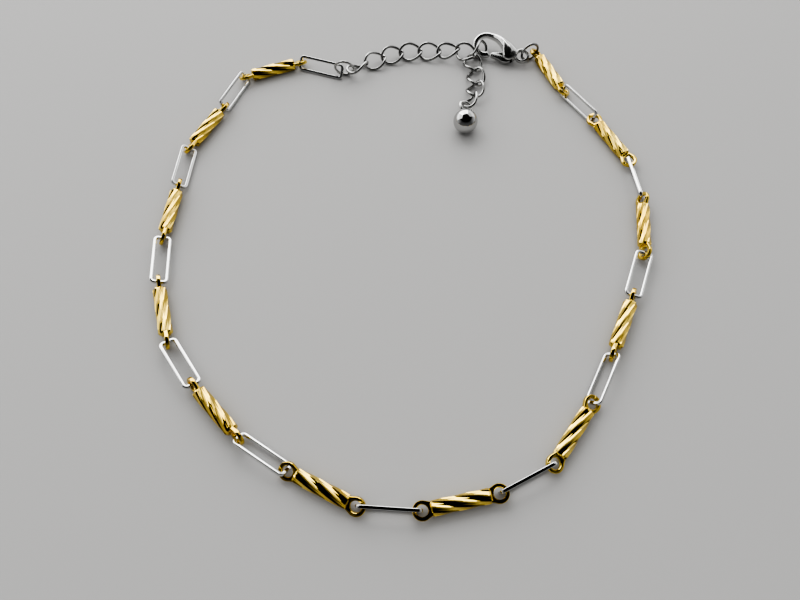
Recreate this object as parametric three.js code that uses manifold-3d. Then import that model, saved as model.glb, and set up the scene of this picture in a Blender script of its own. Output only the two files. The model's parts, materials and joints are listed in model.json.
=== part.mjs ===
// A fastened chain anklet lying on a flat surface. Gold-tone bars with twisted cut facets
// alternate with silver-tone wire links; a lobster clasp holds one link of an extender chain,
// whose tail ends in a ball. Millimetres and degrees, +Z up, the surface at Z = 0.

import * as THREE from 'three';
import { mergeVertices } from 'three/addons/utils/BufferGeometryUtils.js';
import Module from 'manifold-3d';

const wasm = await Module();
wasm.setup();

// Clear space left between two pieces of metal that hang in each other
const PLAY = 0.11;

// Bar: a rod with helical facets and a flat pierced eye at each end
const BAR_BODY = 7.3;
const BAR_ACROSS = 1.86;
const BAR_FACETS = 8;
const BAR_TWIST = 108;
const BAR_STEPS = 8;
const EYE_ACROSS = 2.36;
const EYE_HOLE = 1.4;
const EYE_PLATE = 0.54;
const EYE_REACH = 0.95;
const EYE_ROOT = 0.35;
const EYE_NECK = 1.75;
const EYE_HEEL = 1.49;
const EYE_RIM_HALF = 112;
const EYE_STEPS = 7;
const EYE_PLAY = 0.3;

// Wire link: a long rectangle of round wire with rounded corners, measured along the wire's middle
const LINK_LENGTH = 7.34;
const LINK_WIDTH = 2.06;
const LINK_CORNER = 0.46;
const LINK_WIRE = 0.48;
const WIRE_SIDES = 6;
const CORNER_STEPS = 4;

// Jump rings at the two ends of the bar chain, measured across the wire's middle
const RING_ACROSS = 3.0;
const RING_WIRE = 0.42;
const RING_STEPS = 16;
const RING_SLACK = 0.45;

// Extender link: an oval of round wire, each end turned about its length so that the chain lies flat
const CURB_LENGTH = 3.74;
const CURB_WIDTH = 2.84;
const CURB_TURN = 36;
const CURB_WIRE = 0.4;
const CURB_STEPS = 16;
const CURB_PLAY = 0.16;

// Ball at the end of the tail, with a soldered loop
const BALL_ACROSS = 3.8;
const BALL_SIDES = 14;
const BALL_BANDS = 10;
const LOOP_ACROSS = 2.2;
const LOOP_WIRE = 0.5;
const LOOP_SINK = 0.2;
const LOOP_STEPS = 12;

// Lobster clasp, from the middle of its eye at X = 0 to its nose, with the lever on the +Y side
const CLASP_EYE_ACROSS = 2.5;
const CLASP_EYE_HOLE = 1.5;
const CLASP_EYE_HALF = 0.4;
const CLASP_BODY_HALF = 1.1;
const CLASP_NOSE_HALF = 0.4;
const CLASP_NECK = 42;
const CLASP_STEPS = 8;
const HOOK_MIDDLE = { x: 6.35, y: -0.45 };
const HOOK_OUTER = 2.25;
const HOOK_INNER = 1.4;
const HOOK_TIP = 114;
const CLAW_BACK = [{ x: 2.2, y: -1.9 }, { x: 4.2, y: HOOK_MIDDLE.y - HOOK_OUTER }];
const CLAW_INSIDE = [{ x: 4.9, y: HOOK_MIDDLE.y - HOOK_INNER }, { x: 4.1, y: -1.2 }, { x: 3.3, y: -0.25 }];
const PIVOT = { x: 2.1, y: 0.55 };
const CHEEK_ACROSS = 2.1;
const CHEEK_ARC = { from: -20, to: 120 };
const PIN_ACROSS = 0.5;
const PIN_SUNK = 0.15;
const PIN_SIDES = 10;
const LEVER_BORE = 0.8;
const LEVER_TAIL = 1.3;
const LEVER_THICK = 0.8;
const LEVER_ARM = 0.62;
const LEVER_ARC = { from: 150, to: 290 };
const LEVER_CHAMFER = 0.1;
const LEVER_DROP = 0.08;
const LEVER_STEPS = 5;
const SLOT = { length: 3.2, width: 3, height: 1.1 };
const THUMB = [{ x: 3.8, y: 1.6 }, { x: 2.9, y: 1.87 }, { x: 2.1, y: 1.83 }, { x: 1.6, y: 1.5 }];
// Half the clasp's thickness along its length
const CLAW_SIDE = [
  { x: -CLASP_EYE_ACROSS, half: CLASP_EYE_HALF },
  { x: 0.9, half: CLASP_EYE_HALF },
  { x: 1.5, half: 1.0 },
  { x: 2.2, half: CLASP_BODY_HALF },
  { x: 3.4, half: CLASP_BODY_HALF },
  { x: 6.2, half: CLASP_NOSE_HALF },
  { x: HOOK_MIDDLE.x + 2 * HOOK_OUTER, half: CLASP_NOSE_HALF },
];

const GOLD = { color: 0xd9ae55, metalness: 1, roughness: 0.18 };
const SILVER = { color: 0xd4d4d2, metalness: 1, roughness: 0.12 };

// The run of bars and wire links, from the start ring to the clasp ring, anticlockwise from above.
// heading: the way the piece points on the surface; lean: how far a bar's eye axis, or a link's
// short side, leans from upright, positive towards the inside of the loop
const CHAIN = [
  { piece: 'link', heading: 160, lean: -40 },
  { piece: 'bar', heading: 199, lean: -33 },
  { piece: 'link', heading: 247, lean: -28 },
  { piece: 'bar', heading: 242, lean: -46 },
  { piece: 'link', heading: 265, lean: -56 },
  { piece: 'bar', heading: 264, lean: -64 },
  { piece: 'link', heading: 274, lean: -72 },
  { piece: 'bar', heading: 285, lean: -75 },
  { piece: 'link', heading: 304, lean: -78 },
  { piece: 'bar', heading: 312, lean: -76 },
  { piece: 'link', heading: 326, lean: -58 },
  { piece: 'bar', heading: 332, lean: -30 },
  { piece: 'link', heading: 355, lean: -13 },
  { piece: 'bar', heading: 11, lean: -5 },
  { piece: 'link', heading: 26, lean: -9 },
  { piece: 'bar', heading: 53, lean: -25 },
  { piece: 'link', heading: 61, lean: -50 },
  { piece: 'bar', heading: 64, lean: -78 },
  { piece: 'link', heading: 67, lean: -90 },
  { piece: 'bar', heading: 81, lean: -118 },
  { piece: 'link', heading: 94, lean: -150 },
  { piece: 'bar', heading: 115, lean: -175 },
  { piece: 'link', heading: 122, lean: -195 },
  { piece: 'bar', heading: 111, lean: -213 },
];
const START_RING = { heading: -6, lean: -8 };
const CLASP_RING = { heading: 203, lean: 0 };
const CLASP_LIE = { heading: 159, lean: 20 };
// Half the clasp's thickness across its width. On the lever side it falls away as a flat cheek, which
// is what the leaning clasp rests on
const CHEEK_START = 1;
const CHEEK_END = 2.4;
const CHEEK_FALL = Math.tan(THREE.MathUtils.degToRad(CLASP_LIE.lean));
const CLAW_ACROSS = [
  { y: -3, half: 0.5 },
  { y: -1.7, half: 0.95 },
  { y: -0.7, half: CLASP_BODY_HALF },
  { y: CHEEK_START, half: CLASP_BODY_HALF },
  { y: CHEEK_END, half: CLASP_BODY_HALF - (CHEEK_END - CHEEK_START) * CHEEK_FALL },
];

// The extender: its first links as they lie, then the link on the clasp's hook, which is held
// there by its inner end and holds its neighbours at two places round its outer end, then the tail
const EXTENDER_RUN = [
  { heading: 28, lean: 120 },
  { heading: 27.2, lean: 60 },
  { heading: 18, lean: 58 },
  { heading: 4, lean: 58 },
  { heading: -4.4, lean: 60 },
];
const EXTENDER_CLOSE = [
  { lean: 81.53, climb: 0.64 },
  { lean: 58.61, climb: 0.36 },
];
const HOOKED_LINK = { angle: 65.33, lean: -2.16, inset: 0.05, run: 8.18, tail: -37.23 };
const TAIL = [
  { heading: -78, lean: 87 },
  { heading: -90, lean: 82 },
  { heading: -102.9, lean: 73.8, slope: 8.4 },
  { heading: -118.8, lean: 48, slope: 6.9 },
];
const BALL_DROP = { heading: -96, lean: 119.3, slope: 2.1 };

const radians = THREE.MathUtils.degToRad;

// Turns a geometry into a closed solid for joining and cutting
function solid(geometry) {
  const bare = geometry.clone();
  bare.deleteAttribute('normal');
  bare.deleteAttribute('uv');
  const merged = mergeVertices(bare, 1e-4);
  return new wasm.Manifold(new wasm.Mesh({
    numProp: 3,
    vertProperties: new Float32Array(merged.attributes.position.array),
    triVerts: new Uint32Array(merged.index.array),
  }));
}

// Turns a joined or cut solid back into a geometry
function geometryOf(manifold) {
  const mesh = manifold.getMesh();
  const geometry = new THREE.BufferGeometry();
  geometry.setAttribute('position', new THREE.BufferAttribute(new Float32Array(mesh.vertProperties), 3));
  geometry.setIndex(new THREE.BufferAttribute(new Uint32Array(mesh.triVerts), 1));
  geometry.computeVertexNormals();
  return geometry;
}

// A flat outline raised to the same height on both sides of Z = 0
function plate(shape, height, curveSegments) {
  const geometry = new THREE.ExtrudeGeometry(shape, { depth: height, bevelEnabled: false, curveSegments });
  return geometry.translate(0, 0, -height / 2);
}

function circlePath(x, y, radius) {
  return new THREE.Path().absarc(x, y, radius, 0, 2 * Math.PI, false);
}

// A closed loop of wire whose middle follows pointAt(t), t from 0 to 1, sampled evenly in t
class WireLoop extends THREE.Curve {
  constructor(pointAt) {
    super();
    this.pointAt = pointAt;
  }
  getPoint(t, target = new THREE.Vector3()) {
    return target.copy(this.pointAt(t));
  }
  getUtoTmapping(u) {
    return u;
  }
}

function wire(pointAt, steps, across) {
  return new THREE.TubeGeometry(new WireLoop(pointAt), steps, across / 2, WIRE_SIDES, true);
}

// One eye of a bar, reaching along +X from the end of the body
function barEye() {
  const end = BAR_BODY / 2;
  const middle = end + EYE_REACH;
  const rim = EYE_ACROSS / 2;
  const shape = new THREE.Shape();
  shape.moveTo(end - EYE_ROOT, -EYE_HEEL / 2);
  shape.lineTo(end, -EYE_NECK / 2);
  shape.absarc(middle, 0, rim, radians(-EYE_RIM_HALF), radians(EYE_RIM_HALF), false);
  shape.lineTo(end, EYE_NECK / 2);
  shape.lineTo(end - EYE_ROOT, EYE_HEEL / 2);
  shape.holes.push(circlePath(middle, 0, EYE_HOLE / 2));
  return plate(shape, EYE_PLATE, EYE_STEPS);
}

// A bar along X, its eye axes along Z
function barGeometry() {
  const body = new THREE.CylinderGeometry(BAR_ACROSS / 2, BAR_ACROSS / 2, BAR_BODY, BAR_FACETS, BAR_STEPS);
  body.rotateZ(-Math.PI / 2);
  const places = body.attributes.position;
  const point = new THREE.Vector3();
  const alongX = new THREE.Vector3(1, 0, 0);
  for (let i = 0; i < places.count; i += 1) {
    point.fromBufferAttribute(places, i);
    point.applyAxisAngle(alongX, radians(BAR_TWIST) * point.x / BAR_BODY);
    places.setXYZ(i, point.x, point.y, point.z);
  }
  const eye = solid(barEye());
  const otherEye = solid(barEye().rotateZ(Math.PI));
  return geometryOf(solid(body).add(eye).add(otherEye));
}

// A wire link along X, its short sides along Z
function linkGeometry() {
  const reach = LINK_LENGTH / 2 - LINK_CORNER;
  const rise = LINK_WIDTH / 2 - LINK_CORNER;
  const corners = [[reach, rise], [-reach, rise], [-reach, -rise], [reach, -rise]];
  const arcShare = (CORNER_STEPS - 1) / CORNER_STEPS;
  const cornerPoint = (corner, part) => {
    const angle = (corner + part) * Math.PI / 2;
    const [x, z] = corners[corner];
    return new THREE.Vector3(x + LINK_CORNER * Math.cos(angle), 0, z + LINK_CORNER * Math.sin(angle));
  };
  const pointAt = (t) => {
    const turn = THREE.MathUtils.euclideanModulo(t, 1) * 4;
    const corner = Math.floor(turn);
    const part = turn - corner;
    if (part <= arcShare) return cornerPoint(corner, part / arcShare);
    return cornerPoint(corner, 1).lerp(cornerPoint((corner + 1) % 4, 0), (part - arcShare) / (1 - arcShare));
  };
  return wire(pointAt, 4 * CORNER_STEPS, LINK_WIRE);
}

// The middle of an extender link's wire at an angle round the oval; each end is turned about X
function curbPoint(angle) {
  const turn = radians(CURB_TURN) * Math.cos(angle);
  const across = CURB_WIDTH / 2 * Math.sin(angle);
  return new THREE.Vector3(CURB_LENGTH / 2 * Math.cos(angle), across * Math.sin(turn), across * Math.cos(turn));
}

// An extender link along X, its middle across Z
function curbGeometry() {
  return wire((t) => curbPoint(2 * Math.PI * t), CURB_STEPS, CURB_WIRE);
}

// A round jump ring in the XZ plane
function ringGeometry() {
  return new THREE.TorusGeometry(RING_ACROSS / 2, RING_WIRE / 2, WIRE_SIDES, RING_STEPS).rotateX(Math.PI / 2);
}

// The ball with its loop's middle at X = 0 and the ball towards +X
const BALL_OFFSET = (BALL_ACROSS + LOOP_ACROSS + LOOP_WIRE) / 2 - LOOP_SINK;
function ballGeometry() {
  const ball = new THREE.SphereGeometry(BALL_ACROSS / 2, BALL_SIDES, BALL_BANDS).rotateZ(Math.PI / 2);
  ball.translate(BALL_OFFSET, 0, 0);
  const loop = new THREE.TorusGeometry(LOOP_ACROSS / 2, LOOP_WIRE / 2, WIRE_SIDES, LOOP_STEPS).rotateX(Math.PI / 2);
  return geometryOf(solid(ball).add(solid(loop)));
}

// The claw seen from above: round the eye, along the back, round the nose to the tip, and back
// along the inside to the cheeks of the pivot
function clawOutline() {
  const { x, y } = HOOK_MIDDLE;
  const tip = radians(HOOK_TIP);
  const tipRadius = (HOOK_OUTER - HOOK_INNER) / 2;
  const tipMiddle = (HOOK_OUTER + HOOK_INNER) / 2;
  const neck = radians(CLASP_NECK);
  const shape = new THREE.Shape();
  shape.absarc(0, 0, CLASP_EYE_ACROSS / 2, neck, 2 * Math.PI - neck, false);
  shape.bezierCurveTo(CLAW_BACK[0].x, CLAW_BACK[0].y, CLAW_BACK[1].x, CLAW_BACK[1].y, x, y - HOOK_OUTER);
  shape.absarc(x, y, HOOK_OUTER, -Math.PI / 2, tip, false);
  shape.absarc(x + tipMiddle * Math.cos(tip), y + tipMiddle * Math.sin(tip), tipRadius, tip, tip + Math.PI, false);
  shape.absarc(x, y, HOOK_INNER, tip, -Math.PI / 2, true);
  const [leave, draw, meet] = CLAW_INSIDE;
  shape.bezierCurveTo(leave.x, leave.y, draw.x, draw.y, meet.x, meet.y);
  shape.absarc(PIVOT.x, PIVOT.y, CHEEK_ACROSS / 2, radians(CHEEK_ARC.from), radians(CHEEK_ARC.to), false);
  shape.holes.push(circlePath(0, 0, CLASP_EYE_HOLE / 2));
  return shape;
}

// The claw seen from the lever side: thin at the eye, thick at the pivot, tapering to the nose
function clawThickness() {
  const upper = CLAW_SIDE.map(({ x, half }) => new THREE.Vector2(x, half));
  const lower = CLAW_SIDE.map(({ x, half }) => new THREE.Vector2(x, -half)).reverse();
  return plate(new THREE.Shape(upper.concat(lower).reverse()), 4 * HOOK_OUTER, 1).rotateX(Math.PI / 2);
}

// The claw seen along its length: round-backed, with a flat cheek on each face of the lever side
function clawSection() {
  const near = CLAW_ACROSS.map(({ y, half }) => new THREE.Vector2(half, y));
  const far = CLAW_ACROSS.map(({ y, half }) => new THREE.Vector2(-half, y)).reverse();
  return plate(new THREE.Shape(near.concat(far)), 8 * HOOK_OUTER, 1).rotateY(Math.PI / 2);
}

function claspBodyGeometry() {
  const outline = solid(plate(clawOutline(), 4 * CLASP_BODY_HALF, CLASP_STEPS));
  const claw = outline.intersect(solid(clawThickness())).intersect(solid(clawSection()));
  const slot = new THREE.BoxGeometry(SLOT.length, SLOT.width, SLOT.height);
  slot.translate(
    PIVOT.x - LEVER_TAIL / 2 - PLAY + SLOT.length / 2, PIVOT.y - LEVER_TAIL / 2 - 2 * PLAY + SLOT.width / 2, 0);
  const pinLength = 2 * (CLASP_BODY_HALF - PIN_SUNK);
  const pin = new THREE.CylinderGeometry(PIN_ACROSS / 2, PIN_ACROSS / 2, pinLength, PIN_SIDES);
  pin.rotateX(Math.PI / 2).translate(PIVOT.x, PIVOT.y, 0);
  return geometryOf(claw.subtract(solid(slot)).add(solid(pin)));
}

// The lever: a bored tail on the pin, an arm to the hook's tip and a rounded thumb piece on its outer side
function leverGeometry() {
  const tip = radians(HOOK_TIP);
  const tipMiddle = (HOOK_OUTER + HOOK_INNER) / 2;
  const end = {
    x: HOOK_MIDDLE.x + tipMiddle * Math.cos(tip) - (HOOK_OUTER - HOOK_INNER) / 2 - PLAY,
    y: HOOK_MIDDLE.y + tipMiddle * Math.sin(tip) - LEVER_DROP,
  };
  const shape = new THREE.Shape();
  shape.absarc(PIVOT.x, PIVOT.y, LEVER_TAIL / 2, radians(LEVER_ARC.from), radians(LEVER_ARC.to), false);
  shape.lineTo(end.x - LEVER_CHAMFER, end.y - LEVER_ARM / 2);
  shape.lineTo(end.x, end.y);
  shape.lineTo(end.x - LEVER_CHAMFER, end.y + LEVER_ARM / 2);
  shape.splineThru(THUMB.map(({ x, y }) => new THREE.Vector2(x, y)));
  shape.holes.push(circlePath(PIVOT.x, PIVOT.y, LEVER_BORE / 2));
  return plate(shape, LEVER_THICK, LEVER_STEPS);
}

const anklet = new THREE.Group();

function direction(heading, slope = 0) {
  const flat = Math.cos(radians(slope));
  return new THREE.Vector3(
    flat * Math.cos(radians(heading)), flat * Math.sin(radians(heading)), Math.sin(radians(slope)));
}

// Adds a piece with its middle at a point; its X follows heading and slope, its Z leans to the left
function lay(name, geometry, finish, at, { heading = 0, lean = 0, slope = 0 }) {
  const mesh = new THREE.Mesh(geometry, new THREE.MeshStandardMaterial(finish));
  mesh.name = name;
  mesh.position.copy(at);
  mesh.rotation.set(radians(-lean), radians(-slope), radians(heading), 'ZYX');
  anklet.add(mesh);
  return mesh;
}

// How high a piece's middle stands when it rests on the surface at this lean and slope
function restHeight(geometry, lean, slope = 0) {
  const places = geometry.attributes.position;
  const turn = new THREE.Euler(radians(-lean), radians(-slope), 0, 'ZYX');
  const point = new THREE.Vector3();
  let lowest = Infinity;
  for (let i = 0; i < places.count; i += 1) {
    lowest = Math.min(lowest, point.fromBufferAttribute(places, i).applyEuler(turn).z);
  }
  return -lowest;
}

// The heading half way between two, by the shorter way round
function midHeading(one, other) {
  const turn = THREE.MathUtils.euclideanModulo(other - one + 180, 360) - 180;
  return one + turn / 2;
}

const numbered = (name, index) => `${name}_${String(index + 1).padStart(2, '0')}`;

// Bars and wire links. A link's end sits in its bar's eye, drawn a little way out of the hole's
// middle along the mean of the two headings
const bar = barGeometry();
const link = linkGeometry();
const seat = EYE_HOLE / 2 - LINK_WIRE / 2 - EYE_PLAY;
const barPitch = BAR_BODY + 2 * EYE_REACH;
const heights = CHAIN.map(({ piece, lean }) => (piece === 'bar' ? restHeight(bar, lean) : undefined));
const chainStart = new THREE.Vector3(0, 0, heights[1]);
const chainEnd = chainStart.clone();
const counts = { bar: 0, link: 0 };
CHAIN.forEach(({ piece, heading, lean }, i) => {
  const isBar = piece === 'bar';
  const geometry = isBar ? bar : link;
  const pitch = isBar ? barPitch : LINK_LENGTH;
  const endHeight = isBar ? heights[i] : heights[i + 1];
  const slope = THREE.MathUtils.radToDeg(Math.asin((endHeight - chainEnd.z) / pitch));
  const along = direction(heading, slope);
  const middle = chainEnd.clone().addScaledVector(along, pitch / 2);
  middle.z = Math.max(middle.z, restHeight(geometry, lean, slope));
  lay(numbered(piece, counts[piece]), geometry, isBar ? GOLD : SILVER, middle, { heading, lean, slope });
  counts[piece] += 1;
  const nextHeading = CHAIN[i + 1]?.heading ?? heading;
  chainEnd.addScaledVector(along, pitch).addScaledVector(direction(midHeading(heading, nextHeading)), seat);
});

// A ring stands with its middle above the wires it holds, so it meets them at the ends of a chord
const ring = ringGeometry();
function chord(ringHeight, height) {
  return Math.sqrt((RING_ACROSS / 2) ** 2 - (ringHeight - height) ** 2);
}

// Clasp ring, standing in the last bar's eye and in the clasp's eye
const claspRingHeight = restHeight(ring, CLASP_RING.lean);
const claspRingMiddle = chainEnd.clone()
  .addScaledVector(direction(CLASP_RING.heading), chord(claspRingHeight, chainEnd.z)).setZ(claspRingHeight);
lay('clasp_ring', ring, SILVER, claspRingMiddle, CLASP_RING);

// Clasp, tipped towards its lever side and resting on that side's cheek
const clasp = claspBodyGeometry();
const claspHeight = restHeight(clasp, CLASP_LIE.lean);
const claspEye = claspRingMiddle.clone()
  .addScaledVector(direction(CLASP_RING.heading), chord(claspRingHeight, claspHeight)).setZ(claspHeight);
lay('clasp_body', clasp, SILVER, claspEye, CLASP_LIE);
lay('clasp_lever', leverGeometry(), SILVER, claspEye, CLASP_LIE);

// The extender link on the hook stands upright and points away from the middle of the hook
const curb = curbGeometry();
const hookMiddle = claspEye.clone()
  .addScaledVector(direction(CLASP_LIE.heading), HOOK_MIDDLE.x)
  .addScaledVector(direction(CLASP_LIE.heading + 90), HOOK_MIDDLE.y * Math.cos(radians(CLASP_LIE.lean)));
const hooked = { heading: CLASP_LIE.heading + HOOKED_LINK.angle, lean: HOOKED_LINK.lean, slope: 0 };
hooked.at = hookMiddle.clone()
  .addScaledVector(direction(hooked.heading), HOOKED_LINK.inset + CURB_LENGTH / 2)
  .setZ(restHeight(curb, hooked.lean));
const hookedTurn = new THREE.Euler(radians(-hooked.lean), 0, radians(hooked.heading), 'ZYX');
const hookedWire = (angle) => curbPoint(radians(angle)).applyEuler(hookedTurn).add(hooked.at);

// Start ring, holding the first wire link and the first extender link
const startHeight = restHeight(ring, START_RING.lean);
const startMiddle = chainStart.clone()
  .addScaledVector(direction(CHAIN[0].heading), (LINK_WIRE + RING_WIRE) / 2 + RING_SLACK)
  .addScaledVector(direction(START_RING.heading), chord(startHeight, chainStart.z)).setZ(startHeight);
lay('start_ring', ring, SILVER, startMiddle, START_RING);

// Extender links, each holding the last one's end wire inside its own
const curbOverlap = CURB_WIRE + CURB_PLAY;
const curbPitch = CURB_LENGTH - curbOverlap;
const extender = [];
function extend(from, { heading, lean, slope = 0 }) {
  const along = direction(heading, slope);
  const at = from.clone().addScaledVector(along, curbPitch / 2);
  const rest = restHeight(curb, lean, slope);
  at.setZ(slope === 0 ? rest : Math.max(at.z, rest));
  extender.push({ at, heading, lean, slope });
  return at.clone().addScaledVector(along, curbPitch / 2);
}

// The run from the start ring; its last two links close on the hooked link as a triangle's sides
const runHold = chord(startHeight, restHeight(curb, EXTENDER_RUN[0].lean)) - (RING_WIRE + CURB_WIRE) / 2 - RING_SLACK;
let place = startMiddle.clone()
  .addScaledVector(direction(START_RING.heading), runHold)
  .addScaledVector(direction(EXTENDER_RUN[0].heading), curbOverlap / 2);
EXTENDER_RUN.forEach((row) => {
  place = extend(place, row);
});
const runWire = hookedWire(HOOKED_LINK.run);
const gap = runWire.clone().sub(place).setZ(0);
const gapHeading = THREE.MathUtils.radToDeg(Math.atan2(gap.y, gap.x));
const gapLength = gap.length() + curbOverlap / 2;
const fold = THREE.MathUtils.radToDeg(Math.acos(Math.min(1, gapLength / (2 * curbPitch))));
const climb = runWire.z - place.z;
EXTENDER_CLOSE.forEach((row, i) => {
  const slope = THREE.MathUtils.radToDeg(Math.asin(row.climb * climb / curbPitch));
  place = extend(place, { heading: gapHeading + (i === 0 ? fold : -fold), lean: row.lean, slope });
});
extender.push(hooked);

// The tail, from the lower part of the hooked link
const tailWire = hookedWire(HOOKED_LINK.tail);
const drop = THREE.MathUtils.radToDeg(Math.asin((restHeight(curb, TAIL[1].lean) - tailWire.z) / curbPitch));
place = tailWire.clone().addScaledVector(direction(TAIL[0].heading, drop), -curbOverlap / 2);
TAIL.forEach((row, i) => {
  place = extend(place, i === 0 ? { ...row, slope: drop } : row);
});
extender.forEach((row, i) => lay(numbered('extender', i), curb, SILVER, row.at, row));

// The ball at the end of the tail, lying on the surface with its loop lower than its middle
const loopHold = (LOOP_ACROSS - LOOP_WIRE - CURB_WIRE) / 2 - PLAY;
const loopMiddle = place.clone()
  .addScaledVector(direction(TAIL.at(-1).heading), (curbOverlap - CURB_WIRE - LOOP_WIRE) / 2)
  .addScaledVector(direction(BALL_DROP.heading), loopHold)
  .setZ(BALL_ACROSS / 2 - BALL_OFFSET * Math.sin(radians(BALL_DROP.slope)));
lay('ball_drop', ballGeometry(), SILVER, loopMiddle, BALL_DROP);

// The origin is under the middle of the anklet, on the surface
const box = new THREE.Box3().setFromObject(anklet, true);
const middle = box.getCenter(new THREE.Vector3());
anklet.position.set(-middle.x, -middle.y, -box.min.z);

export default anklet;
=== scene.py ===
import json
import math

import bmesh
import bpy
import numpy as np
from mathutils import Matrix, Vector


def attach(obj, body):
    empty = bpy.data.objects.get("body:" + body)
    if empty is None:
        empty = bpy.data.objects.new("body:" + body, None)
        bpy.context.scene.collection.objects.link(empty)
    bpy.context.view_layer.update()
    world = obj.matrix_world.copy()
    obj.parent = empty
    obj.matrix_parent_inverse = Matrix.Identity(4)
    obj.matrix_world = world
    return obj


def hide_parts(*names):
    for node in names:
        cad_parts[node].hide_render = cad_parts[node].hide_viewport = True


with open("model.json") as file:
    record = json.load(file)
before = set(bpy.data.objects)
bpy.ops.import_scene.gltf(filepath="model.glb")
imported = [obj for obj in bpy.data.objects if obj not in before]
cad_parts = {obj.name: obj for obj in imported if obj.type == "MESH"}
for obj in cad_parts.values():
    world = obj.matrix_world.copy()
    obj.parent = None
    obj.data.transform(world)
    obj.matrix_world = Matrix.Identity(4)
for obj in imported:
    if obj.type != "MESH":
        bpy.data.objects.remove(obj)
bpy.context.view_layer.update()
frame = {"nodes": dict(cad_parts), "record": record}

# Wire links: long paper-clip links of silver-plated square wire with softened edges. Each is bent
# round a former, closed and soldered at the middle of one long side, and tumbled until it is bright.
MM = 0.001
LINK_COUNT = 12
LINK_LENGTH = 7.32 * MM
LINK_WIDTH = 2.04 * MM
LINK_CORNER = 0.46 * MM
LINK_WIRE = 0.46 * MM
LINK_SQUARENESS = 4.5
LINK_SECTION_POINTS = 20
CORNER_POINTS = 9
SIDE_POINTS = 6
TINT_NOISE = {"Scale": 190.0, "Detail": 2.0}
TINT_LIMITS = {"From Min": 0.35, "From Max": 0.65}
HAZE_NOISE = {"Scale": 620.0, "Detail": 4.0}
HAZE_LIMITS = {"From Min": 0.45, "From Max": 0.75}
RIPPLE_NOISE = {"Scale": 1500.0, "Detail": 2.0}
RIPPLE_DEPTH = 0.02 * MM
MIX_COLOUR_A, MIX_COLOUR_B, MIX_COLOUR_RESULT = 6, 7, 2


def seat(node):
    """Where a symmetrical solid lies: its X along the length, its Z across, its origin at the middle."""
    mesh = frame["nodes"][node].data
    mesh.calc_loop_triangles()
    places = np.array([v.co for v in mesh.vertices])
    corners = places[np.array([t.vertices for t in mesh.loop_triangles])]
    weights = np.array([t.area for t in mesh.loop_triangles])
    centres = corners.mean(axis=1)
    middle = (centres * weights[:, None]).sum(axis=0) / weights.sum()
    corners, centres = corners - middle, centres - middle
    # The spread of flat triangles: that of their corners, and nine times that of their centres.
    spread = np.einsum("t,tki,tkj->ij", weights, corners, corners)
    spread += 9 * np.einsum("t,ti,tj->ij", weights, centres, centres)
    axes = np.linalg.eigh(spread)[1]
    along, across = Vector(axes[:, 2]), Vector(axes[:, 1])
    turn = Matrix((along, across.cross(along), across)).transposed()
    return Matrix.Translation(Vector(middle)) @ turn.to_4x4()


def rounded_section(half_width, half_height, squareness, points, inner=None):
    """An outline between an ellipse, at a squareness of 2, and a rectangle; its inner half may differ."""
    section = []
    for i in range(points):
        across, up = math.cos(2 * math.pi * i / points), math.sin(2 * math.pi * i / points)
        power = 2 / (inner if inner and across < 0 else squareness)
        section.append((
            half_width * math.copysign(abs(across) ** power, across),
            half_height * math.copysign(abs(up) ** power, up)))
    return section


def skin(build, rings, closed):
    """Joins rings of points into a wall, which closes on itself or is capped at both ends."""
    following = rings[1:] + rings[:1] if closed else rings[1:]
    for one, other in zip(rings, following):
        for k in range(len(one)):
            m = (k + 1) % len(one)
            build.faces.new((one[k], one[m], other[m], other[k]))
    if not closed:
        build.faces.new(rings[0])
        build.faces.new(rings[-1])


def finished(build, crease=35):
    """Turns a built solid into a mesh that faces out, smooth except across its creases, in degrees."""
    bmesh.ops.recalc_face_normals(build, faces=build.faces)
    mesh = bpy.data.meshes.new("solid")
    build.to_mesh(mesh)
    build.free()
    mesh.shade_smooth()
    mesh.set_sharp_from_angle(angle=math.radians(crease))
    return mesh


def swept_loop(path, section):
    """A closed ring of wire: the section's first axis points out from the middle of the path."""
    path = [Vector(p) for p in path]
    middle = sum(path, Vector()) / len(path)
    build = bmesh.new()
    rings = []
    for i, point in enumerate(path):
        tangent = (path[(i + 1) % len(path)] - path[i - 1]).normalized()
        out = point - middle
        out = (out - tangent * out.dot(tangent)).normalized()
        side = tangent.cross(out)
        rings.append([build.verts.new(point + out * u + side * v) for u, v in section])
    skin(build, rings, closed=True)
    return finished(build)


def fit(name, mesh, place, finish, node, body="anklet"):
    """Puts a copy of a mesh where its solid lies, and lets it stand for that solid."""
    piece = bpy.data.objects.new(name, mesh.copy())
    piece.data.name = name
    piece.data.transform(place)
    piece.data.materials.clear()
    piece.data.materials.append(finish)
    bpy.context.scene.collection.objects.link(piece)
    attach(piece, body)
    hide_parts(node)


class Value:
    """A shader socket, or the start of a tree before it has one; arithmetic on it adds Math nodes."""

    def __init__(self, tree, socket=None):
        self.tree, self.socket = tree, socket

    def node(self, kind, settings=None, sockets=None, out=0):
        """Adds a node, with its settings first and then its sockets' values or links."""
        added = self.tree.nodes.new(kind)
        for key, value in (settings or {}).items():
            if key == "stops":
                ramp = added.color_ramp
                for stop, (at, colour) in zip(ramp.elements[:2], value):
                    stop.position, stop.color = at, colour
                for at, colour in value[2:]:
                    ramp.elements.new(at).color = colour
            else:
                setattr(added, key, value)
        for key, value in (sockets or {}).items():
            if isinstance(value, Value):
                self.tree.links.new(value.socket, added.inputs[key])
            else:
                added.inputs[key].default_value = value
        return Value(self.tree, added.outputs[out])

    def math(self, operation, other):
        return self.node("ShaderNodeMath", {"operation": operation}, {0: self, 1: other})

    def __add__(self, other):
        return self.math("ADD", other)

    def __mul__(self, other):
        return self.math("MULTIPLY", other)

    __radd__, __rmul__ = __add__, __mul__


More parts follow.
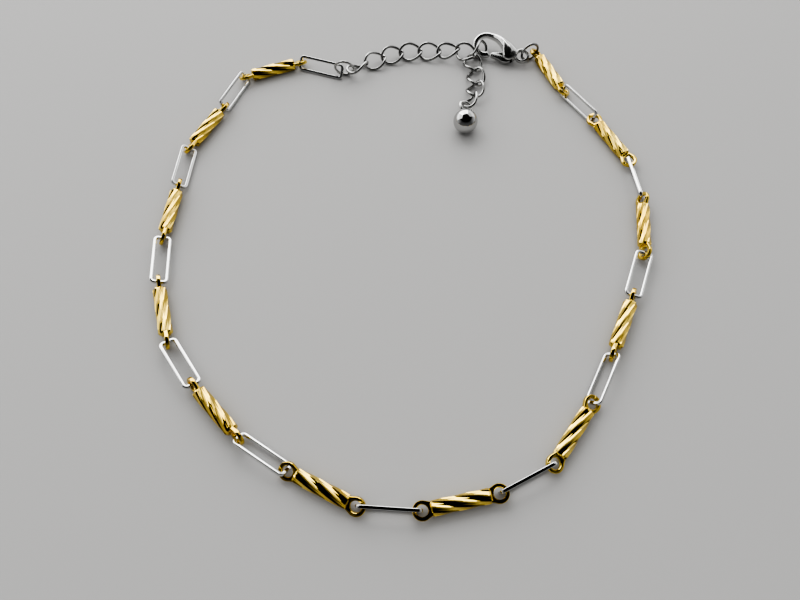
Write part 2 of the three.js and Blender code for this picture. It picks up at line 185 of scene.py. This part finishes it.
def polished_plate(name, bright, deep, rough, haze, ripple):
    """A bright metal skin: slow shifts of tint, haze left by handling and a fine ripple."""
    material = bpy.data.materials.new(name)
    material.use_nodes = True
    tree = material.node_tree
    place = Value(tree).node("ShaderNodeTexCoord", out="Object")

    def noise(grain):
        return place.node("ShaderNodeTexNoise", None, {"Vector": place, **grain})

    def stretched(value, limits):
        return value.node("ShaderNodeMapRange", None, {"Value": value, **limits})

    tint = stretched(noise(TINT_NOISE), TINT_LIMITS)
    shades = {"Factor": tint, MIX_COLOUR_A: (*deep, 1), MIX_COLOUR_B: (*bright, 1)}
    colour = tint.node("ShaderNodeMix", {"data_type": "RGBA"}, shades, out=MIX_COLOUR_RESULT)
    smear = stretched(noise(HAZE_NOISE), HAZE_LIMITS)
    relief = {"Strength": ripple, "Distance": RIPPLE_DEPTH, "Height": noise(RIPPLE_NOISE)}
    bump = place.node("ShaderNodeBump", None, relief)
    shader = tree.nodes["Principled BSDF"]
    shader.inputs["Metallic"].default_value = 1.0
    tree.links.new(colour.socket, shader.inputs["Base Color"])
    tree.links.new((rough + haze * smear).socket, shader.inputs["Roughness"])
    tree.links.new(bump.socket, shader.inputs["Normal"])
    return material


def link_path():
    """The middle of the wire round a link: two long sides and two short ones with rounded corners."""
    reach, rise = LINK_LENGTH / 2 - LINK_CORNER, LINK_WIDTH / 2 - LINK_CORNER
    middles = [(reach, rise), (-reach, rise), (-reach, -rise), (reach, -rise)]
    path = []
    for corner, (x, z) in enumerate(middles):
        for i in range(CORNER_POINTS):
            angle = math.pi / 2 * (corner + i / (CORNER_POINTS - 1))
            path.append(Vector((x + LINK_CORNER * math.cos(angle), 0, z + LINK_CORNER * math.sin(angle))))
        turn = math.pi / 2 * (corner + 1)
        x, z = middles[(corner + 1) % 4]
        ahead = Vector((x + LINK_CORNER * math.cos(turn), 0, z + LINK_CORNER * math.sin(turn)))
        path += [path[-1].lerp(ahead, i / SIDE_POINTS) for i in range(1, SIDE_POINTS)]
    return path


silver = polished_plate(
    "silver_plate", bright=(0.74, 0.74, 0.73), deep=(0.56, 0.56, 0.55), rough=0.05, haze=0.10, ripple=0.06)
wire_link = swept_loop(
    link_path(), rounded_section(LINK_WIRE / 2, LINK_WIRE / 2, LINK_SQUARENESS, LINK_SECTION_POINTS))
for i in range(1, LINK_COUNT + 1):
    fit(f"wire_link_{i:02d}", wire_link, seat(f"link_{i:02d}"), silver, f"link_{i:02d}")

# Bars: gold-plated brass rods with eight hollow facets in a slow right-hand twist, each cut in two
# passes that leave a faint ridge along its middle, and with their ends rounded over. A flat pierced
# eye is soldered into each end, and the two eyes lie in one plane.
BAR_COUNT = 12
BAR_BODY = 7.3 * MM
BAR_RIDGE = 0.93 * MM
BAR_HOLLOW = 0.085 * MM
BAR_MID_RIDGE = 0.045 * MM
MID_RIDGE_REACH = 0.3
BAR_FACETS = 8
BAR_TWIST = math.radians(108)
BAR_SHOULDER = 0.34 * MM
BAR_CREASE = 22
SHOULDER_STEPS = 5
FACET_POINTS = 12
TWIST_STEPS = 56
EYE_RIM = 1.18 * MM
EYE_HOLE = 0.7 * MM
EYE_PLATE = 0.54 * MM
EYE_REACH = 0.95 * MM
EYE_ROOT = 0.35 * MM
EYE_NECK = 0.875 * MM
EYE_HEEL = 0.745 * MM
EYE_ARC = math.radians(112)
EYE_EDGE = 0.12 * MM
EYE_RIM_POINTS = 33
EYE_HOLE_POINTS = 32
PLATE_EDGE_STEPS = 2
MERGED = 0.0001 * MM


def rod_stations():
    """Places along a bar's body and how far its skin is drawn in there: both ends are rounded over."""
    plain = BAR_BODY / 2 - BAR_SHOULDER
    ends = []
    for i in range(SHOULDER_STEPS):
        turn = math.pi / 2 * i / SHOULDER_STEPS
        ends.append((plain + BAR_SHOULDER * math.cos(turn), BAR_SHOULDER * (1 - math.sin(turn))))
    middle = [(plain * (2 * i / TWIST_STEPS - 1), 0) for i in range(TWIST_STEPS + 1)]
    return [(-x, drawn) for x, drawn in ends] + middle + ends[::-1]


def faceted_rod():
    """The twisted body of a bar along X."""
    build = bmesh.new()
    half = math.pi / BAR_FACETS
    rings = []
    for x, drawn in rod_stations():
        ring = []
        for k in range(BAR_FACETS * FACET_POINTS):
            facet, part = k // FACET_POINTS, k % FACET_POINTS / FACET_POINTS
            aside = half * (2 * part - 1)
            flat = BAR_RIDGE * math.cos(half) / math.cos(aside)
            ridge = BAR_MID_RIDGE * max(0, 1 - abs(part - 0.5) / MID_RIDGE_REACH)
            radius = flat - BAR_HOLLOW * math.sin(math.pi * part) + ridge - drawn
            angle = half * (2 * facet + 1) + aside - BAR_TWIST * x / BAR_BODY
            ring.append(build.verts.new((x, radius * math.sin(angle), radius * math.cos(angle))))
        rings.append(ring)
    skin(build, rings, closed=False)
    return finished(build, BAR_CREASE)


def arc(x, y, radius, start, stop, points):
    """Points of an arc, its angles in radians."""
    angles = [start + (stop - start) * i / (points - 1) for i in range(points)]
    return [(x + radius * math.cos(a), y + radius * math.sin(a)) for a in angles]


def circle(x, y, radius, points):
    """Points round a circle."""
    return arc(x, y, radius, 0, 2 * math.pi * (points - 1) / points, points)


def settled(blank, *tools, crease=35):
    """The mesh that a blank's curve or modifiers give; the blank and its tools are then put away."""
    raw = bpy.data.meshes.new_from_object(blank.evaluated_get(bpy.context.evaluated_depsgraph_get()))
    for spent in (blank, *tools):
        bpy.data.objects.remove(spent)
    build = bmesh.new()
    build.from_mesh(raw)
    bmesh.ops.remove_doubles(build, verts=build.verts, dist=MERGED)
    return finished(build, crease)


def pressed_plate(rims, thickness, edge):
    """A flat plate with softened edges, cut to its first rim and pierced by the others."""
    shape = bpy.data.curves.new("plate", "CURVE")
    shape.dimensions, shape.fill_mode = "2D", "BOTH"
    shape.extrude, shape.offset = thickness / 2 - edge, -edge
    shape.bevel_depth, shape.bevel_resolution = edge, PLATE_EDGE_STEPS
    for rim in rims:
        spline = shape.splines.new("POLY")
        spline.points.add(len(rim) - 1)
        for point, (x, y) in zip(spline.points, rim):
            point.co = (x, y, 0, 1)
        spline.use_cyclic_u = True
    blank = bpy.data.objects.new("plate", shape)
    bpy.context.scene.collection.objects.link(blank)
    return settled(blank)


def combined(base, other, operation, crease=30):
    """Two solids soldered together, or one cut out of the other."""
    blank, tool = bpy.data.objects.new("blank", base), bpy.data.objects.new("tool", other)
    for solid in (blank, tool):
        bpy.context.scene.collection.objects.link(solid)
    cut = blank.modifiers.new("cut", "BOOLEAN")
    cut.object, cut.operation, cut.solver = tool, operation, "EXACT"
    return settled(blank, tool, crease=crease)


def bar_eye():
    """One eye of a bar, reaching along +X from the end of the body."""
    end = BAR_BODY / 2
    rim = [(end - EYE_ROOT, -EYE_HEEL), (end, -EYE_NECK)]
    rim += arc(end + EYE_REACH, 0, EYE_RIM, -EYE_ARC, EYE_ARC, EYE_RIM_POINTS)
    rim += [(end, EYE_NECK), (end - EYE_ROOT, EYE_HEEL)]
    hole = circle(end + EYE_REACH, 0, EYE_HOLE, EYE_HOLE_POINTS)
    return pressed_plate([rim, hole], EYE_PLATE, EYE_EDGE)


gold = polished_plate(
    "gold_plate", bright=(0.85, 0.64, 0.16), deep=(0.71, 0.49, 0.095), rough=0.06, haze=0.09, ripple=0.20)
far_eye = bar_eye()
far_eye.transform(Matrix.Rotation(math.pi, 4, "Z"))
faceted_bar = combined(faceted_rod(), bar_eye(), "UNION", BAR_CREASE)
faceted_bar = combined(faceted_bar, far_eye, "UNION", BAR_CREASE)
faceted_bar.transform(Matrix.Rotation(math.pi / 2, 4, "X"))
for i in range(1, BAR_COUNT + 1):
    fit(f"faceted_bar_{i:02d}", faceted_bar, seat(f"bar_{i:02d}"), gold, f"bar_{i:02d}")

# Jump rings: one at each end of the bar chain, bright steel wire wound on a rod, cut off a turn at a
# time and pinched shut. The start ring holds the extender and the clasp ring the clasp.
RING_ACROSS = 3.0 * MM
RING_WIRE = 0.42 * MM
RING_POINTS = 56
WIRE_POINTS = 14


def oval_path(length, width, points, turn=0):
    """The middle of a wire bent to an oval in XZ, its two ends turned about X."""
    path = []
    for i in range(points):
        angle = 2 * math.pi * i / points
        twist, across = turn * math.cos(angle), width / 2 * math.sin(angle)
        path.append((length / 2 * math.cos(angle), across * math.sin(twist), across * math.cos(twist)))
    return path


def round_wire(diameter):
    """The section of a round wire."""
    return rounded_section(diameter / 2, diameter / 2, 2, WIRE_POINTS)


steel = polished_plate(
    "bright_steel", bright=(0.40, 0.40, 0.39), deep=(0.23, 0.23, 0.225), rough=0.05, haze=0.10, ripple=0.06)
jump_ring = swept_loop(oval_path(RING_ACROSS, RING_ACROSS, RING_POINTS), round_wire(RING_WIRE))
for end in ("start", "clasp"):
    fit(f"{end}_jump_ring", jump_ring, seat(f"{end}_ring"), steel, f"{end}_ring")

# Clasp body: a silver-plated lobster claw cast in one with its eye, round-backed and flat inside,
# tapering to the hook. A slot is milled between its cheeks for the lever, and a pin is driven through both.
CLASP_HEADING = math.radians(159)
CLASP_EYE_ACROSS = 2.0 * MM
CLASP_EYE_WIDE = 0.25 * MM
CLASP_EYE_HIGH = 0.4 * MM
CLASP_EYE_SQUARENESS = 2.6
CLASP_EYE_SECTION_POINTS = 18
CLAW_SQUARENESS = 2.3
CLAW_INNER_SQUARENESS = 5.0
CLAW_SECTION_POINTS = 40
CLAW_STEPS = 4
CLAW_STATIONS = (
    # back x, back y, inside x, inside y, half thickness, in millimetres from the eye
    (0.80, -0.70, 0.80, 0.72, 0.40),
    (1.30, -1.12, 1.25, 1.14, 0.70),
    (1.95, -1.53, 1.95, 1.56, 1.02),
    (2.77, -1.95, 2.72, 1.38, 1.08),
    (3.40, -2.20, 3.12, 0.55, 1.06),
    (3.88, -2.35, 3.32, -0.25, 1.00),
    (4.45, -2.49, 3.91, -0.90, 0.90),
    (5.08, -2.61, 4.58, -1.41, 0.74),
    (5.75, -2.68, 5.37, -1.73, 0.58),
)
# The hook, in millimetres too: its half thickness falls from the first value to the second by its nose.
HOOK_MIDDLE = Vector((6.35, -0.45))
HOOK_OUTER = 2.25
HOOK_INNER = 1.4
HOOK_THICK = (0.50, 0.40)
HOOK_ARC = (math.radians(-86), math.radians(114))
HOOK_STATIONS = 11
TIP_STATIONS = 6
PIVOT = Vector((2.1, 0.55, 0)) * MM
SLOT_LOW = Vector((1.34, -0.32, -0.55)) * MM
SLOT_HIGH = Vector((4.54, 2.7, 0.55)) * MM
PIN_RADIUS = 0.25 * MM
PIN_LENGTH = 1.9 * MM
PIN_SIDES = 24


def claw_rows():
    """Stations from the eye round to the tip: the claw's back, its inside and its half thickness."""
    rows = [np.array(row) for row in CLAW_STATIONS]
    for i in range(HOOK_STATIONS):
        part = i / (HOOK_STATIONS - 1)
        angle = HOOK_ARC[0] + (HOOK_ARC[1] - HOOK_ARC[0]) * part
        way = Vector((math.cos(angle), math.sin(angle)))
        thick = HOOK_THICK[1] + (HOOK_THICK[0] - HOOK_THICK[1]) * max(0, 1 - 2 * part)
        rows.append(np.array((*(HOOK_MIDDLE + way * HOOK_OUTER), *(HOOK_MIDDLE + way * HOOK_INNER), thick)))
    return rows


def smoothed(rows, steps):
    """Passes a smooth curve through rows of numbers."""
    padded = [2 * rows[0] - rows[1], *rows, 2 * rows[-1] - rows[-2]]
    out = []
    for a, b, c, d in zip(padded, padded[1:], padded[2:], padded[3:]):
        for i in range(steps):
            t = i / steps
            out.append(b + 0.5 * t * (c - a + t * (2 * a - 5 * b + 4 * c - d + t * (3 * (b - c) + d - a))))
    return out + [rows[-1]]


def claw():
    """The claw without its eye: rounded sections from back to inside, closed by a round tip."""
    rows = smoothed(claw_rows(), CLAW_STEPS)
    back, inside, thick = rows[-1][:2], rows[-1][2:4], rows[-1][4]
    ahead = back - rows[-2][:2]
    ahead = ahead / np.linalg.norm(ahead) * np.linalg.norm(back - inside) / 2
    middle = (back + inside) / 2
    for i in range(1, TIP_STATIONS):
        angle = math.pi / 2 * i / TIP_STATIONS
        shift, shrink = ahead * math.sin(angle), math.cos(angle)
        ends = [middle + shift + (edge - middle) * shrink for edge in (back, inside)]
        rows.append(np.array((*ends[0], *ends[1], thick * shrink)))
    build = bmesh.new()
    rings = []
    for row in rows:
        one, other = Vector((*row[:2], 0)) * MM, Vector((*row[2:4], 0)) * MM
        middle, reach = (one + other) / 2, (one - other) / 2
        ring = rounded_section(1, row[4] * MM, CLAW_SQUARENESS, CLAW_SECTION_POINTS, CLAW_INNER_SQUARENESS)
        rings.append([build.verts.new(middle + reach * u + Vector((0, 0, v))) for u, v in ring])
    skin(build, rings, closed=False)
    return finished(build)


def block(low, high):
    """A cutter between two corners."""
    build = bmesh.new()
    bmesh.ops.create_cube(build, size=1)
    bmesh.ops.scale(build, verts=build.verts, vec=high - low)
    bmesh.ops.translate(build, verts=build.verts, vec=(low + high) / 2)
    return finished(build)


def pin():
    """A round pin across the claw at the pivot."""
    build = bmesh.new()
    bmesh.ops.create_cone(
        build, cap_ends=True, segments=PIN_SIDES, radius1=PIN_RADIUS, radius2=PIN_RADIUS, depth=PIN_LENGTH,
        matrix=Matrix.Translation(PIVOT))
    return finished(build)


def claw_seat():
    """Where the clasp lies: its X from the eye to the nose, its Z along the lever's hinge."""
    hinge = frame["record"]["behaviour"]["joints"][0]
    upright = -Vector(hinge["axis"]).normalized()
    ahead = Vector((math.cos(CLASP_HEADING), math.sin(CLASP_HEADING), 0))
    turn = Matrix((ahead, upright.cross(ahead), upright)).transposed()
    return Matrix.Translation(Vector(hinge["pos_m"]) - turn @ PIVOT) @ turn.to_4x4()


cast_silver = polished_plate(
    "cast_silver", bright=(0.62, 0.62, 0.61), deep=(0.46, 0.46, 0.45), rough=0.14, haze=0.10, ripple=0.05)
clasp_eye = swept_loop(
    oval_path(CLASP_EYE_ACROSS, CLASP_EYE_ACROSS, RING_POINTS),
    rounded_section(CLASP_EYE_WIDE, CLASP_EYE_HIGH, CLASP_EYE_SQUARENESS, CLASP_EYE_SECTION_POINTS))
clasp_eye.transform(Matrix.Rotation(math.pi / 2, 4, "X"))
claw_casting = combined(claw(), clasp_eye, "UNION")
claw_casting = combined(claw_casting, block(SLOT_LOW, SLOT_HIGH), "DIFFERENCE")
claw_casting = combined(claw_casting, pin(), "UNION")
fit("lobster_claw", claw_casting, claw_seat(), cast_silver, "clasp_body")

# Clasp lever: the gate of the claw, pressed from thicker plate. Its bored tail turns on the pin, a coil
# spring hidden in the slot holds its end against the hook, and its outer edge swells to a thumb piece.
LEVER_TAIL = 0.65 * MM
LEVER_TAIL_ARC = (math.radians(150), math.radians(290))
LEVER_TAIL_POINTS = 15
LEVER_BORE = 0.4 * MM
LEVER_BORE_POINTS = 24
LEVER_PLATE = 0.8 * MM
LEVER_EDGE = 0.08 * MM
# The arm and the thumb piece, in millimetres from the clasp's eye.
LEVER_WAIST = (4.3, 0.60)
LEVER_HALF = 0.31
LEVER_CHAMFER = 0.1
LEVER_DROP = 0.08
LEVER_PLAY = 0.11
THUMB = ((3.8, 1.60), (2.9, 1.87), (2.1, 1.83), (1.6, 1.50))
THUMB_STEPS = 6


def lever_plate():
    """The lever seen from above: its tail, its arm to the tip of the hook, its thumb piece and its bore."""
    tip_radius, tip_middle = (HOOK_OUTER - HOOK_INNER) / 2, (HOOK_OUTER + HOOK_INNER) / 2
    end_x = HOOK_MIDDLE.x + tip_middle * math.cos(HOOK_ARC[1]) - tip_radius - LEVER_PLAY
    end_y = HOOK_MIDDLE.y + tip_middle * math.sin(HOOK_ARC[1]) - LEVER_DROP
    arm = [LEVER_WAIST, (end_x - LEVER_CHAMFER, end_y - LEVER_HALF), (end_x, end_y)]
    thumb = [np.array(point) for point in ((end_x - LEVER_CHAMFER, end_y + LEVER_HALF), *THUMB)]
    rim = arc(PIVOT.x, PIVOT.y, LEVER_TAIL, *LEVER_TAIL_ARC, LEVER_TAIL_POINTS)
    rim += [(x * MM, y * MM) for x, y in (*arm, *smoothed(thumb, THUMB_STEPS))]
    bore = circle(PIVOT.x, PIVOT.y, LEVER_BORE, LEVER_BORE_POINTS)
    return pressed_plate([rim, bore], LEVER_PLATE, LEVER_EDGE)


fit("claw_lever", lever_plate(), claw_seat(), cast_silver, "clasp_lever", body="lever")

# Extender links: ovals of round bright steel wire, each welded shut and then twisted so that its two
# ends turn apart, which lets the chain lie flat and gives the clasp a place on any link.
CURB_COUNT = 12
CURB_LENGTH = 3.67 * MM
CURB_WIDTH = 2.77 * MM
CURB_TURN = math.radians(36)
CURB_WIRE = 0.46 * MM
CURB_POINTS = 64
curb_link = swept_loop(oval_path(CURB_LENGTH, CURB_WIDTH, CURB_POINTS, CURB_TURN), round_wire(CURB_WIRE))
for i in range(1, CURB_COUNT + 1):
    node = f"extender_{i:02d}"
    fit(f"extender_link_{i:02d}", curb_link, seat(node), steel, node)

# Ball drop: a polished plated ball at the end of the tail. A loop of thicker wire is sunk a little
# way into it and soldered all round, and hangs in the last extender link.
BALL_RADIUS = 1.895 * MM
BALL_OFFSET = 3.05 * MM
BALL_SEGMENTS = 48
BALL_RINGS = 28
LOOP_ACROSS = 2.2 * MM
LOOP_WIRE = 0.48 * MM
LOOP_POINTS = 48


def round_ball():
    """The ball with its poles on X, and the loop's middle at the origin."""
    build = bmesh.new()
    place = Matrix.Translation((BALL_OFFSET, 0, 0)) @ Matrix.Rotation(math.pi / 2, 4, "Y")
    bmesh.ops.create_uvsphere(
        build, u_segments=BALL_SEGMENTS, v_segments=BALL_RINGS, radius=BALL_RADIUS, matrix=place)
    return finished(build)


def drop_seat():
    """Where the drop lies: its X from the loop to the ball, the end nearer to the solid's middle."""
    place = seat("ball_drop")
    along = place.to_3x3().col[0]
    ends = [(v.co - place.translation).dot(along) for v in frame["nodes"]["ball_drop"].data.vertices]
    if max(ends) > -min(ends):
        place = place @ Matrix.Rotation(math.pi, 4, "Z")
    ball_end = min(max(ends), -min(ends))
    return place @ Matrix.Translation((ball_end - BALL_OFFSET - BALL_RADIUS, 0, 0))


ball_plate = polished_plate(
    "ball_plate", bright=(0.56, 0.56, 0.55), deep=(0.44, 0.44, 0.43), rough=0.03, haze=0.06, ripple=0.03)
loop = swept_loop(oval_path(LOOP_ACROSS, LOOP_ACROSS, LOOP_POINTS), round_wire(LOOP_WIRE))
ball_drop = combined(round_ball(), loop, "UNION")
fit("ball_and_loop", ball_drop, drop_seat(), ball_plate, "ball_drop")

# Surface, light and view: a plain pale tabletop, three soft boxes behind the anklet, an even fill from
# above that doesn't show in the metal, and a camera that looks down on the anklet from its near side.
TABLE_REACH = 6.0
TABLE_COLOUR = (0.305, 0.302, 0.297, 1)
TABLE_ROUGHNESS = 0.85
WALL_STOPS = (
    # sine of the height above the horizon, colour of the pale wall or the dark ceiling there
    (0.0, (0.95, 0.95, 0.96, 1)),
    (0.42, (0.60, 0.60, 0.61, 1)),
    (0.66, (0.012, 0.012, 0.012, 1)),
)
# The walls' strength, from the near side to full behind the anklet.
WALL_DIM = {"From Min": -0.6, "From Max": 0.4, "To Min": 0.15}
BOX_DISTANCE = 0.6
BOX_RISE = math.radians(36)
BOX_SIZE = 0.56
SOFT_BOXES = (
    # name, degrees round from straight back, power in watts
    ("back_box", -10, 3.4),
    ("left_box", -62, 1.4),
    ("right_box", 42, 0.8),
)
FILL_POWER = 2.0
FILL_SPREAD = math.radians(120)
CAMERA_PLACE = Vector((-0.88, -57.25, 82.9)) * MM
CAMERA_PITCH = math.radians(60.46)
CAMERA_ROLL = math.radians(-1.393)
CAMERA_SENSOR = 36.0
CAMERA_LENS = 31.5
CAMERA_NEAR = 5 * MM


def tabletop():
    """A flat painted board."""
    corners = [(-TABLE_REACH, -TABLE_REACH, 0), (TABLE_REACH, -TABLE_REACH, 0)]
    corners += [(TABLE_REACH, TABLE_REACH, 0), (-TABLE_REACH, TABLE_REACH, 0)]
    mesh = bpy.data.meshes.new("tabletop")
    mesh.from_pydata(corners, [], [(0, 1, 2, 3)])
    paint = bpy.data.materials.new("table_paint")
    paint.use_nodes = True
    shader = paint.node_tree.nodes["Principled BSDF"]
    shader.inputs["Base Color"].default_value = TABLE_COLOUR
    shader.inputs["Roughness"].default_value = TABLE_ROUGHNESS
    mesh.materials.append(paint)
    board = bpy.data.objects.new("tabletop", mesh)
    bpy.context.scene.collection.objects.link(board)


def studio_walls():
    """Pale walls under a dark ceiling, dimmer on the near side."""
    room = bpy.data.worlds.new("studio")
    room.use_nodes = True
    tree = room.node_tree
    way = Value(tree).node("ShaderNodeTexCoord", out="Generated")
    rise = way.node("ShaderNodeSeparateXYZ", None, {"Vector": way}, out="Z")
    depth = way.node("ShaderNodeSeparateXYZ", None, {"Vector": way}, out="Y")
    wall = rise.node("ShaderNodeValToRGB", {"stops": WALL_STOPS}, {"Fac": rise})
    dim = depth.node("ShaderNodeMapRange", None, {"Value": depth, **WALL_DIM})
    tree.links.new(wall.socket, tree.nodes["Background"].inputs["Color"])
    tree.links.new(dim.socket, tree.nodes["Background"].inputs["Strength"])
    bpy.context.scene.world = room


def soft_box(name, bearing, power):
    """A square lamp behind the anklet, facing its middle."""
    lamp = bpy.data.lights.new(name, "AREA")
    lamp.shape, lamp.size, lamp.energy = "SQUARE", BOX_SIZE, power
    aside, flat = math.radians(bearing), math.cos(BOX_RISE)
    away = Vector((flat * math.sin(aside), flat * math.cos(aside), math.sin(BOX_RISE)))
    holder = bpy.data.objects.new(name, lamp)
    holder.location = away * BOX_DISTANCE
    holder.rotation_euler = (-away).to_track_quat("-Z", "Y").to_euler()
    bpy.context.scene.collection.objects.link(holder)


def overhead_fill():
    """A wide light from straight above that the metal doesn't mirror."""
    lamp = bpy.data.lights.new("overhead_fill", "SUN")
    lamp.energy, lamp.angle = FILL_POWER, FILL_SPREAD
    holder = bpy.data.objects.new("overhead_fill", lamp)
    holder.visible_glossy = False
    bpy.context.scene.collection.objects.link(holder)


tabletop()
studio_walls()
for name, bearing, power in SOFT_BOXES:
    soft_box(name, bearing, power)
overhead_fill()
view = bpy.data.cameras.new("view")
view.sensor_width, view.lens, view.clip_start = CAMERA_SENSOR, CAMERA_LENS, CAMERA_NEAR
viewer = bpy.data.objects.new("view", view)
tilt = Matrix.Rotation(math.pi / 2 - CAMERA_PITCH, 4, "X")
viewer.matrix_world = Matrix.Translation(CAMERA_PLACE) @ tilt @ Matrix.Rotation(CAMERA_ROLL, 4, "Z")
bpy.context.scene.collection.objects.link(viewer)
bpy.context.scene.camera = viewer
bpy.context.scene.view_settings.look = "AgX - High Contrast"
